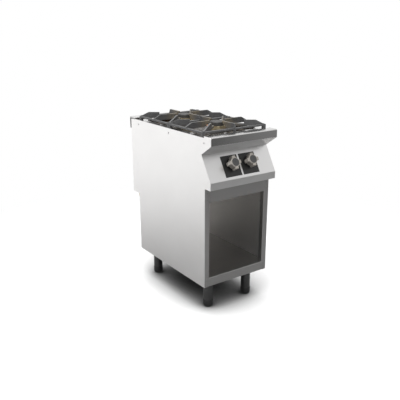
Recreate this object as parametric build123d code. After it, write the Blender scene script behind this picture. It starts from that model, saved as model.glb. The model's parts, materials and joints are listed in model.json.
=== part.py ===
from build123d import *
import math
import os

# Gas cooktop on open stand: a 400 mm wide catering hob with two open burners, on a base with an open
# compartment and four adjustable legs.
# Frame: +Z up, front towards -Y. The origin is on the floor under the middle of the overall box.

# Module and sheet
module_width = 400.0
body_depth = 760.0
floor_to_base = 150.0
side_sheet = 1.5
top_sheet = 2.0
bend = 1.5
sheet_gap = 0.2
drill_reach = 40.0

# Side outline: setbacks are from the front face of the upper nose, heights are from the floor
lower_nose_setback = 1.5
lower_nose_bottom = 662.0
lower_nose_top = 698.0
recess_setback = 74.0
recess_height = 822.0
upper_nose_bottom = 871.0
base_front_setback = 47.0
base_back_inset = 78.0
rear_step_height = 484.0
upper_back_inset = 13.0
side_top_drop = 1.0

# Worktop
ledge_height = 903.0
front_rim_rise = 8.0
front_rim_depth = 54.0
front_rim_radius = 6.0
rear_rim_rise = 9.0
rear_rim_depth = 57.0
rear_skirt_height = 65.0
rear_hem_height = 7.0
side_flange_depth = 22.0
side_flange_front_gap = 4.0
side_flange_back_gap = 12.0
nose_return = 18.0
well_half_width = 168.0
well_front_setback = 104.0
well_back_inset = 116.0
well_depth = 28.0
well_corner = 34.0
well_floor_fillet = 8.0
joining_hole_radius = 4.0
joining_hole_drop = 24.0
joining_hole_setback = 54.0
joining_hole_back_inset = 95.0

# Pan supports
grid_length = 387.0
grid_gap = 1.0
grid_front_setback = 75.5
grid_back_inset = 96.5
grid_bar_width = 11.0
grid_bar_height = 8.0
grid_bar_top = 925.0
grid_foot = 15.0
grid_top = 946.0
fin_thickness = 8.0
fin_rise_run = 35.0
fin_inner_radius = 134.0
ramp_foot_radius = 92.0
ramp_tip_radius = 106.0
ramp_top_length = 16.0
diagonal_bar_inner_radius = 72.0
diagonal_bar_width = 12.0
diagonal_bar_rise = 3.0
finger_tip_depth = 6.0
finger_root_radius = 82.0
finger_width = 9.0
side_finger_rise_run = 40.0
cross_finger_rise_run = 8.0
finger_reach_radius = 48.5
mid_foot_width = 9.0

# Burners
crown_radius = 44.0
crown_bottom = 899.0
crown_height = 20.0
crown_wall = 7.0
cup_inset = 2.4
spigot_wall = 4.0
cap_lip_wall = 3.0
cap_lip_depth = 5.0
crown_ports = 36
port_width = 1.6
port_height = 7.0
crown_spigot_depth = 10.0
spigot_clearance = 0.4
cup_wall = 4.0
cup_depth = 12.0
cup_flange_radius = 56.0
cup_flange_thickness = 3.0
cap_radius = 36.0
cap_height = 21.0
cap_fillet = 7.0
cap_seat_depth = 3.0
cap_rim = 11.0
mixing_radius = 17.0
mixing_wall = 3.0
venturi_height = 826.0
venturi_length = 80.0
venturi_mouth_radius = 22.0
venturi_mouth_length = 6.0
injector_gap = 10.0
injector_radius = 7.0
injector_length = 22.0
injector_plate = 2.0
injector_nose_radius = 4.0
injector_nose = 5.0
jet_radius = 0.8
injector_arm_gap = 3.0
injector_arm_half = 9.0
pilot_offset = 62.0
pilot_radius = 5.0
pilot_height = 34.0
thermocouple_radius = 3.0
thermocouple_height = 38.0
igniter_spread = 16.0
igniter_tail = 14.0
igniter_clearance = 0.1
igniter_collar_height = 3.0
pilot_window = 4.0
flange_trim = 8.0
igniter_collar = 2.5
burner_beam_width = 68.0
beam_cup_depth = 10.0
beam_cup_gap = 2.0
beam_notch_height = 6.0
rail_drop = 26.0
rail_sill_overlap = 20.0

# Controls
plate_width = 98.0
plate_height = 106.0
plate_thickness = 1.6
plate_chamfer = 1.0
plate_from_fold = 13.5
control_spacing = 108.0
control_from_fold = 72.0
control_hole_radius = 9.0
seal_radius = 17.0
seal_height = 3.0
seal_chamfer = 1.5
spindle_radius = 4.0
spindle_flat = 3.0
spindle_clearance = 0.05
shaft_hole_radius = 4.4
spindle_tip_cover = 6.0
spindle_heel = 6.0
knob_span = 66.0
knob_core_radius = 24.5
knob_lobe_width = 18.0
knob_bottom = 12.0
knob_top = 42.0
knob_fillet = 2.5
knob_corner_fillet = 3.0
knob_neck_radius = 13.0
push_clearance = 0.5
knob_disc_radius = 20.0
knob_disc_recess = 1.2
knob_disc_proud = 0.3
pointer_radius = 2.4
pointer_length = 3.0
pointer_proud = 1.0
push_travel = 4.0

# Gas taps and pipework
tap_radius = 14.0
tap_collar = 3.0
stub_wall = 2.0
saddle_depth = 3.0
plug_setback = 8.0
tap_front = 9.0
tap_length = 42.0
plug_radius = 8.0
plug_length = 24.0
plug_clearance = 0.05
plug_end_play = 0.1
gas_way_radius = 5.0
manifold_radius = 9.0
manifold_bore = 7.5
manifold_half_length = 150.0
plug_head = 6.0
plug_stem = 11.0
bracket_width = 24.0
bracket_inset = 25.0
bracket_web = 4.0
bracket_wall = 3.0
bracket_foot = 2.0
outlet_radius = 5.0
outlet_bore = 3.5
outlet_stub = 12.0
side_stub = 8.0
side_stub_radius = 4.0
feed_bend = 9.0
pilot_line_radius = 2.0
lead_radius = 1.5
line_bend = 4.0
feed_height = 790.0
pilot_line_height = 808.0
lead_height = 798.0
line_side_gap = 14.0
lead_side_offset = 26.0
supply_radius = 9.0
supply_side_offset = 172.0
inlet_inset = 45.0
inlet_radius = 10.4
inlet_bore = 7.0
inlet_drop = 28.3
inlet_hex = 27.0
inlet_hex_height = 12.0
inlet_locknut_height = 6.0
tube_bend = 22.0
end_bend = 18.0

# Stand
opening_half_width = 171.0
bottom_rail_half = 179.0
bottom_rail_top = 197.0
top_rail_bottom = 588.0
post_depth = 26.0
rail_depth = 24.0
ceiling_height = 642.0
rear_post_width = 19.0
shelf_lip = 20.0
vent_count = 7
vent_pitch = 44.0
vent_length = 34.0
vent_height = 8.0
vent_drop = 60.0
upper_back_drop = 14.0
screw_pair = 27.5
rail_screw_pair = 34.0
rail_screw_drop = 25.0
screw_head_radius = 4.0
screw_head_height = 1.6
screw_shank_radius = 2.0
screw_length = 4.0
screw_inset = 15.0
screw_edge = 9.5
insert_radius = 5.0
insert_height = 3.0
insert_bore = 2.1
insert_setback = 97.0
insert_low = 232.0
insert_high = 517.0

# Legs
leg_half_spacing = 125.4
front_leg_setback = 119.0
rear_leg_inset = 140.5
leg_radius = 25.0
leg_wall = 1.5
leg_flange_radius = 38.0
leg_flange_thickness = 3.0
leg_bottom = 36.0
foot_radius = 26.5
foot_sole_radius = 20.0
foot_taper_height = 14.0
foot_stem_height = 98.0
foot_clearance = 0.08
foot_stem_wall = 4.0
foot_floor = 10.0
foot_edge = 1.5
leg_bolt_circle = 31.0
beam_width = 84.0
beam_flange = 11.0
beam_half_length = 175.0
bolt_radius = 3.0
bolt_hole_radius = 3.2
bolt_head_radius = 5.0
bolt_head_height = 3.5
bolt_length = 9.0
nut_height = 4.0
mount_step = 2.0

# Derived places
half_width = module_width / 2
inner_half = half_width - side_sheet
slope_run = recess_setback - lower_nose_setback
slope_rise = recess_height - lower_nose_top
slope_length = math.hypot(slope_run, slope_rise)
slope_y = slope_run / slope_length
slope_z = slope_rise / slope_length
knob_low_edge = control_from_fold - knob_span / 2
knob_corner_loss = knob_fillet * (slope_z + slope_y - 1)
knob_reach = knob_top * slope_z - knob_low_edge * slope_y - lower_nose_setback - knob_corner_loss
front_y = (knob_reach - body_depth) / 2
back_y = front_y + body_depth


def setback(distance):
    """How far behind the front face of the upper nose, as a place along Y."""
    return front_y + distance


front_rim_height = ledge_height + front_rim_rise
rear_rim_height = ledge_height + rear_rim_rise
rear_skirt_bottom = rear_rim_height - rear_skirt_height
side_top = ledge_height - side_top_drop
joining_hole_height = ledge_height - joining_hole_drop
joining_hole_pitch = (body_depth - joining_hole_setback - joining_hole_back_inset) / 2
base_back_setback = body_depth - base_back_inset
upper_back_setback = body_depth - upper_back_inset
rear_rim_setback = body_depth - rear_rim_depth
well_back_setback = body_depth - well_back_inset
inlet_setback = body_depth - inlet_inset
rear_leg_setback = body_depth - rear_leg_inset
grid_width = (body_depth - grid_front_setback - grid_back_inset) / 2
base_front_y = setback(base_front_setback)
base_back_y = setback(base_back_setback)
grid_front_y = setback(grid_front_setback)
burner_ys = [grid_front_y + grid_width / 2, grid_front_y + 1.5 * grid_width]
well_floor = ledge_height - well_depth
cup_radius = crown_radius - cup_inset
leg_inner_radius = leg_radius - leg_wall
control_xs = [-control_spacing / 2, control_spacing / 2]
# Which control serves which burner: the control's X, its side, and the burner's Y
served = [(control_xs[1], 1, burner_ys[0]), (control_xs[0], -1, burner_ys[1])]
plug_front = tap_front + tap_length - plug_length - plug_setback
knob_neck_bottom = plate_thickness + seal_height + push_travel + push_clearance


def block(x_range, y_range, z_range):
    size = [high - low for low, high in (x_range, y_range, z_range)]
    middle = [(high + low) / 2 for low, high in (x_range, y_range, z_range)]
    return Pos(*middle) * Box(*size)


def post(x, y, low, high, radius):
    return Pos(x, y, (low + high) / 2) * Cylinder(radius, high - low)


def offset_line(points, thickness):
    """The line that runs on the left of the given points, one sheet thickness away."""
    result = []
    last = len(points) - 1
    for index, point in enumerate(points):
        before = Vector(*points[max(index - 1, 0)])
        here = Vector(*point)
        after = Vector(*points[min(index + 1, last)])
        first = (here - before) if index else (after - here)
        second = (after - here) if index < last else first
        first = first.normalized()
        second = second.normalized()
        left_first = Vector(-first.Y, first.X)
        left_second = Vector(-second.Y, second.X)
        mitre = (left_first + left_second).normalized()
        reach = thickness / mitre.dot(left_first)
        result.append((here.X + mitre.X * reach, here.Y + mitre.Y * reach))
    return result


def bend_radii(points, thickness, on_outline):
    radii = []
    for before, here, after in zip(points, points[1:], points[2:]):
        turn = (here[0] - before[0]) * (after[1] - here[1]) - (here[1] - before[1]) * (after[0] - here[0])
        outside = (turn > 0) == on_outline
        radii.append(bend + thickness if outside else bend)
    return radii


def folded_profile(points, thickness):
    """A folded sheet's section: the sheet lies on the left of the points, with bent corners."""
    inner = offset_line(points, thickness)
    if len(points) == 2:
        return Polyline(points[0], points[1], inner[1], inner[0], close=True)
    outline = FilletPolyline(*points, radius=bend_radii(points, thickness, True))
    lining = FilletPolyline(*inner, radius=bend_radii(points, thickness, False))
    ends = [Line(points[0], inner[0]), Line(points[-1], inner[-1])]
    return outline + lining + ends


def folded_along_x(points, thickness, x_range):
    face = make_face(Plane.YZ * folded_profile(points, thickness))
    return Pos(x_range[0], 0, 0) * extrude(face, amount=x_range[1] - x_range[0], dir=(1, 0, 0))


def folded_along_z(points, thickness, z_range):
    face = make_face(Plane.XY * folded_profile(points, thickness))
    return Pos(0, 0, z_range[0]) * extrude(face, amount=z_range[1] - z_range[0], dir=(0, 0, 1))


def mirrored(shape):
    return mirror(shape, about=Plane.YZ)


def save(name, shape):
    export_step(shape, f"parts/{name}.step")


def save_pair(name, right_shape):
    save(f"{name}_right", right_shape)
    save(f"{name}_left", mirrored(right_shape))


def control_plane(x):
    """On the sloping panel at a control's centre: X to the right, Y up the slope, Z outwards."""
    y = setback(lower_nose_setback) + control_from_fold * slope_y
    z = lower_nose_top + control_from_fold * slope_z
    return Plane(origin=(x, y, z), x_dir=(1, 0, 0), z_dir=(0, -slope_z, slope_y))


def joining_hole_ys():
    return [setback(joining_hole_setback + joining_hole_pitch * index) for index in range(3)]


# Side panels
def side_outline():
    rim_back = setback(front_rim_depth)
    return [
        (base_front_y, floor_to_base),
        (base_front_y, lower_nose_bottom),
        (setback(lower_nose_setback), lower_nose_bottom),
        (setback(lower_nose_setback), lower_nose_top),
        (setback(recess_setback), recess_height),
        (setback(0), upper_nose_bottom),
        (setback(0), front_rim_height - front_rim_radius),
        (setback(front_rim_radius), front_rim_height),
        (rim_back, front_rim_height),
        (rim_back, side_top),
        (setback(rear_rim_setback), side_top),
        (setback(rear_rim_setback), side_top - 2),
        (setback(upper_back_setback), side_top - 2),
        (setback(upper_back_setback), rear_step_height),
        (base_back_y, rear_step_height),
        (base_back_y, floor_to_base),
    ]


def make_side_panel():
    face = make_face(Plane.YZ * Polyline(*side_outline(), close=True))
    panel = Pos(inner_half, 0, 0) * extrude(face, amount=side_sheet, dir=(1, 0, 0))
    drill = Rot(0, 90, 0) * Cylinder(joining_hole_radius, drill_reach)
    for y in joining_hole_ys():
        panel -= Pos(half_width, y, joining_hole_height) * drill
    return panel


# Worktop
def well_box(grow, low, high):
    x_half = well_half_width + grow
    y_low = setback(well_front_setback) - grow
    y_high = setback(well_back_setback) + grow
    face = RectangleRounded(2 * x_half, y_high - y_low, well_corner + grow)
    return Pos(0, (y_low + y_high) / 2, low) * extrude(face, amount=high - low)


def make_front_rim():
    points = [
        (setback(nose_return), upper_nose_bottom),
        (setback(0), upper_nose_bottom),
        (setback(0), front_rim_height),
        (setback(front_rim_depth), front_rim_height),
        (setback(front_rim_depth), ledge_height),
        (setback(well_front_setback), ledge_height),
    ]
    radii = [bend, front_rim_radius, bend + top_sheet, bend]
    lining_radii = [bend, front_rim_radius - top_sheet, bend, bend + top_sheet]
    lining_points = offset_line(points[::-1], top_sheet)[::-1]
    outline = FilletPolyline(*points, radius=radii)
    lining = FilletPolyline(*lining_points, radius=lining_radii)
    ends = [Line(points[0], lining_points[0]), Line(points[-1], lining_points[-1])]
    face = make_face(Plane.YZ * (outline + lining + ends))
    half = inner_half - sheet_gap
    return Pos(-half, 0, 0) * extrude(face, amount=2 * half, dir=(1, 0, 0))


def make_rear_rim():
    rim_y = setback(rear_rim_setback)
    points = [
        (setback(well_back_setback), ledge_height - top_sheet),
        (rim_y + top_sheet, ledge_height - top_sheet),
        (rim_y + top_sheet, rear_rim_height - top_sheet),
        (back_y - top_sheet, rear_rim_height - top_sheet),
        (back_y - top_sheet, rear_skirt_bottom),
    ]
    low_strip = block(
        (-inner_half + sheet_gap, inner_half - sheet_gap),
        (setback(well_back_setback), rim_y + top_sheet),
        (ledge_height - top_sheet, ledge_height),
    )
    rim = folded_along_x(points[1:], top_sheet, (-half_width, half_width))
    hem_low = rear_rim_height - rear_hem_height
    side_hem = block((half_width - top_sheet, half_width), (rim_y, back_y), (hem_low, rear_rim_height - 2))
    side_clear = block(
        (inner_half - sheet_gap, half_width),
        (rim_y - 1, setback(upper_back_setback) + 1),
        (rear_step_height, hem_low),
    )
    return (rim - side_clear - mirrored(side_clear)) + low_strip + side_hem + mirrored(side_hem)


def make_worktop():
    half = inner_half - sheet_gap
    ledge = block(
        (-half, half),
        (setback(well_front_setback) - 1, setback(well_back_setback) + 1),
        (ledge_height - top_sheet, ledge_height),
    )
    flange_front = setback(recess_setback) + side_flange_front_gap
    flange_y = (flange_front, setback(upper_back_setback) - side_flange_back_gap)
    flange_z = (ledge_height - side_flange_depth, ledge_height - 1)
    flange = block((half - top_sheet, half), flange_y, flange_z)
    for y in joining_hole_ys()[1:]:
        hole = Pos(half, y, joining_hole_height) * Rot(0, 90, 0) * Cylinder(joining_hole_radius, drill_reach)
        flange -= hole
    top = ledge + make_front_rim() + make_rear_rim() + flange + mirrored(flange)
    return top - well_box(0, ledge_height - drill_reach, ledge_height + drill_reach)


def make_burner_well():
    """The pressed basin welded under the worktop's opening, with a hole for each burner and pilot."""
    low = well_floor - top_sheet
    shell = well_box(top_sheet, low, ledge_height - top_sheet)
    hollow = well_box(0, well_floor, ledge_height)
    hollow = fillet(hollow.edges().group_by(Axis.Z)[0], well_floor_fillet)
    well = fillet(shell.edges().group_by(Axis.Z)[0], well_floor_fillet + top_sheet) - hollow
    for y in burner_ys:
        well -= post(0, y, low - 1, well_floor + 1, burner_hole_radius())
        hole_y = y + pilot_y_offset()
        for x in (-igniter_spread, igniter_spread):
            well -= post(x, hole_y, low - 1, well_floor + 1, pilot_radius + igniter_clearance)
    return well


def burner_hole_radius():
    return cup_radius + sheet_gap


def pilot_y_offset():
    return math.sqrt(pilot_offset**2 - igniter_spread**2)


# Front control panel
def make_control_panel():
    underside_end = base_front_y - sheet_gap
    points = [
        (underside_end, lower_nose_bottom),
        (setback(lower_nose_setback), lower_nose_bottom),
        (setback(lower_nose_setback), lower_nose_top),
        (setback(recess_setback), recess_height),
        (setback(recess_setback), ledge_height - top_sheet - sheet_gap),
    ]
    half = inner_half - sheet_gap
    panel = folded_along_x(points[::-1], side_sheet, (-half, half))
    for x in control_xs:
        panel -= control_plane(x) * Cylinder(control_hole_radius, drill_reach)
    return panel


def make_knob_plate(x):
    centre = plate_from_fold + plate_height / 2 - control_from_fold
    plate = extrude(Pos(0, centre) * RectangleRounded(plate_width, plate_height, 2), amount=plate_thickness)
    plate = chamfer(plate.edges().group_by(Axis.Z)[-1], plate_chamfer)
    plate -= Cylinder(control_hole_radius, drill_reach)
    return control_plane(x) * plate


def make_spindle_seal(x):
    ring = Cylinder(seal_radius, seal_height) - Cylinder(shaft_hole_radius, drill_reach)
    top_edge = ring.edges().group_by(Axis.Z)[-1].sort_by(SortBy.RADIUS)[-1]
    ring = chamfer(top_edge, seal_chamfer)
    return control_plane(x) * Pos(0, 0, plate_thickness + seal_height / 2) * ring


# Knobs
def knob_section(span, width, core):
    cross = Rectangle(span, width) + Rectangle(width, span) + Circle(core)
    corners = cross.vertices().filter_by(lambda v: math.hypot(v.X, v.Y) > core + 1)
    return fillet(corners, knob_corner_fillet)


def make_knob_body(x):
    section = knob_section(knob_span, knob_lobe_width, knob_core_radius)
    body = Pos(0, 0, knob_bottom) * extrude(section, amount=knob_top - knob_bottom)
    body = fillet(body.edges().group_by(Axis.Z)[-1], knob_fillet)
    neck_height = knob_bottom - knob_neck_bottom + 1
    body += Pos(0, 0, knob_neck_bottom + neck_height / 2) * Cylinder(knob_neck_radius, neck_height)
    disc_seat = knob_disc_recess + 1
    body -= Pos(0, 0, knob_top - knob_disc_recess + disc_seat / 2) * Cylinder(knob_disc_radius, disc_seat)
    body -= spindle_shape(0.0)
    pointer_x = knob_span / 2 - pointer_length / 2
    body -= Pos(pointer_x, 0, pointer_height()) * Rot(0, 90, 0) * Cylinder(pointer_radius, pointer_length)
    return control_plane(x) * body


def pointer_height():
    return (knob_bottom + knob_top) / 2


def spindle_tip():
    return knob_top - spindle_tip_cover


def spindle_shape(grow):
    """The spindle in the control's own plane: a round shaft, with a flat where the knob grips it."""
    low = -(plug_front + plug_length - spindle_heel)
    high = spindle_tip()
    radius = spindle_radius + grow
    shaft = Pos(0, 0, (low + high) / 2) * Cylinder(radius, high - low)
    flat_low = knob_neck_bottom
    flat_height = high - flat_low
    flat_middle = Pos(0, spindle_flat + radius, flat_low + flat_height / 2)
    flat = flat_middle * Box(4 * radius, 2 * radius, flat_height)
    return shaft - flat


def make_knob_disc(x):
    thickness = knob_disc_recess + knob_disc_proud
    disc = Cylinder(knob_disc_radius, thickness)
    disc = chamfer(disc.edges().group_by(Axis.Z)[-1], knob_disc_proud / 2)
    return control_plane(x) * Pos(0, 0, knob_top - knob_disc_recess + thickness / 2) * disc


def make_knob_pointer(x):
    length = pointer_length + pointer_proud
    pin = Pos(knob_span / 2 - pointer_length + length / 2, 0, pointer_height()) * Rot(0, 90, 0)
    return control_plane(x) * pin * Cylinder(pointer_radius, length)


# Gas taps
def make_tap_body(x):
    body = Pos(0, 0, -(tap_front + tap_length / 2)) * Cylinder(tap_radius, tap_length)
    collar = Pos(0, 0, -(side_sheet + (tap_front - side_sheet) / 2))
    body += collar * Cylinder(control_hole_radius + tap_collar, tap_front - side_sheet)
    outlet = Pos(0, tap_radius + outlet_stub / 2, -outlet_depth()) * Rot(90, 0, 0)
    body += outlet * Cylinder(outlet_radius + stub_wall, outlet_stub)
    body += outlet * Pos(0, 0, tap_collar) * Cylinder(outlet_radius + stub_wall, outlet_stub)
    for side in (-1, 1):
        stub_x = side * (tap_radius + (side_stub - tap_collar) / 2)
        stub = Cylinder(side_stub_radius, side_stub + tap_collar)
        body += Pos(stub_x, 0, -outlet_depth()) * Rot(0, 90, 0) * stub
    body -= outlet * Cylinder(outlet_bore, outlet_stub + 2 * tap_collar)
    plug_hole_length = plug_length + 2 * plug_end_play
    plug_hole = Pos(0, 0, -(plug_front + plug_length / 2))
    body -= plug_hole * Cylinder(plug_radius + plug_clearance, plug_hole_length)
    body -= Pos(0, 0, -(tap_front + tap_length)) * Cylinder(gas_way_radius, tap_length)
    shaft_hole_length = plug_front + 1
    body -= Pos(0, 0, -shaft_hole_length / 2) * Cylinder(shaft_hole_radius, shaft_hole_length)
    saddle = control_plane(0).offset(-manifold_depth())
    return control_plane(x) * body - saddle * Rot(0, 90, 0) * Cylinder(manifold_radius, module_width)


def outlet_depth():
    return tap_front + tap_length / 2


def manifold_depth():
    return tap_front + tap_length + manifold_radius - saddle_depth


def make_tap_plug(x):
    plug = Cylinder(plug_radius, plug_length) - Cylinder(spindle_radius + spindle_clearance, plug_length + 2)
    return control_plane(x) * Pos(0, 0, -(plug_front + plug_length / 2)) * plug


def make_spindle(x):
    return control_plane(x) * spindle_shape(0.0)


def manifold_centre():
    return control_plane(0).offset(-manifold_depth()).origin


def make_manifold():
    centre = manifold_centre()
    length = 2 * manifold_half_length
    tube = Cylinder(manifold_radius, length) - Cylinder(manifold_bore, length)
    return Pos(*centre) * Rot(0, 90, 0) * tube


def make_manifold_plug():
    centre = manifold_centre()
    head = Pos(0, 0, plug_head / 2) * Cylinder(manifold_radius + side_sheet, plug_head)
    stem = Pos(0, 0, -plug_stem / 2) * Cylinder(manifold_bore, plug_stem)
    return Pos(manifold_half_length, centre.Y, centre.Z) * Rot(0, 90, 0) * (head + stem)


def make_manifold_bracket(side):
    """A strap from the top rail to the manifold, one at each end."""
    centre = manifold_centre()
    x = side * (manifold_half_length - bracket_inset)
    low = lower_nose_bottom
    x_range = (x - bracket_width / 2, x + bracket_width / 2)
    back = centre.Y + bracket_web / 2
    web = block(x_range, (centre.Y - bracket_web / 2, back), (low, centre.Z))
    foot = block(x_range, (base_front_y + side_sheet, back), (low, low + bracket_foot))
    eye = Pos(x, centre.Y, centre.Z) * Rot(0, 90, 0) * Cylinder(manifold_radius + bracket_wall, bracket_width)
    hole = Pos(x, centre.Y, centre.Z) * Rot(0, 90, 0) * Cylinder(manifold_radius, drill_reach)
    return web + foot + eye - hole


def tube_along(points, radii, outer, bore):
    path = FilletPolyline(*points, radius=radii)
    start = Plane(origin=path @ 0, z_dir=path % 0)
    tube = sweep(start * Circle(outer), path=path)
    return tube - sweep(start * Circle(bore), path=path)


def make_supply_tube():
    centre = manifold_centre()
    inlet_y = setback(inlet_setback)
    points = [
        (-manifold_half_length, centre.Y, centre.Z),
        (-supply_side_offset, centre.Y, centre.Z),
        (-supply_side_offset, inlet_y, centre.Z),
        (-supply_side_offset, inlet_y, rear_step_height + inlet_hex_height + side_sheet),
    ]
    return tube_along(points, [end_bend, tube_bend], supply_radius, manifold_bore)


def make_gas_inlet():
    x = -supply_side_offset
    y = setback(inlet_setback)
    shelf = rear_step_height + side_sheet
    hexagon = RegularPolygon(inlet_hex / 2, 6, major_radius=False)
    fitting = Pos(x, y, shelf) * extrude(hexagon, amount=inlet_hex_height)
    fitting += Pos(x, y, rear_step_height) * extrude(hexagon, amount=-inlet_locknut_height)
    fitting += post(x, y, rear_step_height - inlet_drop, shelf + 1, inlet_radius)
    fitting -= post(x, y, rear_step_height - inlet_drop - 1, shelf + inlet_hex_height + 1, inlet_bore)
    return fitting


# Burners
def mouth_y(burner_y):
    return burner_y - venturi_length


def make_burner_body(burner_y):
    outer = cup_radius
    cup_low = well_floor - cup_depth
    cup = post(0, burner_y, cup_low, crown_bottom, outer)
    flange_top = well_floor + cup_flange_thickness
    flange = post(0, burner_y, well_floor, flange_top, cup_flange_radius)
    trim = post(0, burner_y + pilot_y_offset(), well_floor - 1, flange_top + 1, igniter_spread + flange_trim)
    tube = post(0, burner_y, venturi_height, cup_low + 1, mixing_radius)
    venturi_middle = burner_y - venturi_length / 2
    venturi = Pos(0, venturi_middle, venturi_height) * Rot(90, 0, 0) * Cylinder(mixing_radius, venturi_length)
    elbow = Pos(0, burner_y, venturi_height) * Sphere(mixing_radius)
    mouth_middle = mouth_y(burner_y) + venturi_mouth_length / 2
    mouth = Pos(0, mouth_middle, venturi_height) * Rot(90, 0, 0)
    mouth = mouth * Cylinder(venturi_mouth_radius, venturi_mouth_length)
    body = cup + (flange - trim) + tube + venturi + elbow + mouth
    bore = mixing_radius - mixing_wall
    body -= post(0, burner_y, cup_low + cup_wall, crown_bottom + 1, outer - cup_wall)
    body -= post(0, burner_y, venturi_height, well_floor, bore)
    body -= Pos(0, venturi_middle - 1, venturi_height) * Rot(90, 0, 0) * Cylinder(bore, venturi_length + 2)
    body -= Pos(0, burner_y, venturi_height) * Sphere(bore)
    return body


def make_crown(burner_y):
    top = crown_bottom + crown_height
    ring = post(0, burner_y, crown_bottom, top, crown_radius)
    spigot_outer = cup_radius - cup_wall - spigot_clearance
    ring += post(0, burner_y, crown_bottom - crown_spigot_depth, crown_bottom + 1, spigot_outer)
    ring -= post(0, burner_y, crown_bottom - crown_spigot_depth - 1, top + 1, spigot_outer - spigot_wall)
    port = Pos(crown_radius, 0, top - port_height / 2) * Box(crown_wall * 3, port_width, port_height)
    middle = Pos(0, burner_y, 0)
    ports = [middle * Rot(0, 0, 360 / crown_ports * index) * port for index in range(crown_ports)]
    return ring - Compound(ports)


def make_cap(burner_y):
    low = crown_bottom + crown_height
    cap = post(0, burner_y, low, low + cap_height, cap_radius)
    cap = fillet(cap.edges().group_by(Axis.Z)[-1], cap_fillet)
    cap -= post(0, burner_y, low - 1, low + cap_seat_depth, cap_radius - cap_rim)
    lip_outer = cup_radius - cup_wall - spigot_wall - 2 * spigot_clearance
    lip = post(0, burner_y, low - cap_lip_depth, low + cap_seat_depth + 1, lip_outer)
    lip -= post(0, burner_y, low - cap_lip_depth - 1, low + cap_seat_depth, lip_outer - cap_lip_wall)
    return cap + lip


def injector_y(burner_y):
    return mouth_y(burner_y) - injector_gap - injector_length / 2


def make_injector(burner_y):
    y = injector_y(burner_y)
    jet = Pos(0, y, venturi_height) * Rot(90, 0, 0) * Cylinder(injector_radius, injector_length)
    tip_y = y + injector_length / 2
    nose = Pos(0, tip_y, venturi_height) * Rot(90, 0, 0) * Cylinder(injector_nose_radius, 2 * injector_nose)
    low = injector_stub_end()
    stub = post(0, y, low, venturi_height, outlet_radius + side_sheet)
    way = post(0, y, low - 1, venturi_height, outlet_bore)
    hole = Pos(0, tip_y, venturi_height) * Rot(90, 0, 0) * Cylinder(jet_radius, injector_length)
    return jet + nose + stub - way - hole


def injector_stub_end():
    return venturi_height - injector_radius - outlet_stub


def make_injector_bracket(burner_y):
    """A strap round the injector, with two arms to the sides of the venturi's mouth."""
    mouth = mouth_y(burner_y)
    front = mouth - injector_gap - injector_plate * 2
    reach = venturi_mouth_radius + injector_arm_gap
    low = venturi_height - injector_arm_half
    high = venturi_height + injector_arm_half
    cross = block((-reach, reach), (front, front + injector_plate), (low, high))
    arm = block((reach - injector_plate, reach), (front, mouth + venturi_mouth_length), (low, high))
    back = mouth + venturi_mouth_length
    end = block((mixing_radius, reach), (back, back + injector_plate), (low, high))
    hole = Pos(0, front, venturi_height) * Rot(90, 0, 0) * Cylinder(injector_radius, drill_reach / 2)
    venturi = Pos(0, mouth, venturi_height) * Rot(90, 0, 0) * Cylinder(mixing_radius, drill_reach)
    return cross + arm + mirrored(arm) + (end - venturi) + mirrored(end - venturi) - hole


def igniter_bottom():
    return well_floor - top_sheet - igniter_tail


def make_pilot(burner_y, side):
    x = side * igniter_spread
    y = burner_y + pilot_y_offset()
    low = igniter_bottom()
    hood_z = well_floor + pilot_height
    body = post(x, y, low, hood_z, pilot_radius)
    body += post(x, y, well_floor, well_floor + igniter_collar_height, pilot_radius + igniter_collar)
    window = Box(pilot_window, pilot_radius * 2, pilot_window)
    return body - Pos(x, y - pilot_radius, hood_z - pilot_window) * window


def make_thermocouple(burner_y, side):
    x = -side * igniter_spread
    y = burner_y + pilot_y_offset()
    low = igniter_bottom()
    tip = post(x, y, low, well_floor + thermocouple_height, thermocouple_radius)
    tip = fillet(tip.edges().group_by(Axis.Z)[-1], thermocouple_radius * 0.8)
    tip += post(x, y, well_floor - top_sheet, well_floor, pilot_radius)
    return tip + post(x, y, well_floor, well_floor + igniter_collar_height, pilot_radius + igniter_collar)


# Pan supports
def upright_plate(points, thickness, angle):
    """A plate standing on edge: the points are distance from the grid's centre, and height."""
    face = make_face(Plane.XZ * Polyline(*points, close=True))
    plate = Pos(0, thickness / 2, 0) * extrude(face, amount=thickness, dir=(0, -1, 0))
    return Rot(0, 0, angle) * plate


def make_grid(centre_y, outward):
    x_half = grid_length / 2
    y_half = (grid_width - grid_gap) / 2
    bar_low = grid_bar_top - grid_bar_height
    frame = block((-x_half, x_half), (-y_half, y_half), (bar_low, grid_bar_top))
    inside = (x_half - grid_bar_width, y_half - grid_bar_width)
    frame -= block((-inside[0], inside[0]), (-inside[1], inside[1]), (bar_low - 1, grid_bar_top + 1))
    corners = Box(2 * x_half, 2 * y_half, 2 * (grid_top - ledge_height))
    grid = frame
    for x_side in (-1, 1):
        for y_side in (-1, 1):
            grid += corner_fin(x_side, y_side, x_half, y_half, bar_low)
            grid += corner_foot(x_side, y_side, x_half, y_half, bar_low)
        grid += side_finger(x_side, x_half, bar_low)
        grid += cross_finger(x_side, y_half, bar_low)
    grid += mid_foot(outward, y_half, bar_low)
    grid &= Pos(0, 0, grid_bar_top) * corners
    return Pos(0, centre_y, 0) * grid


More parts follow.
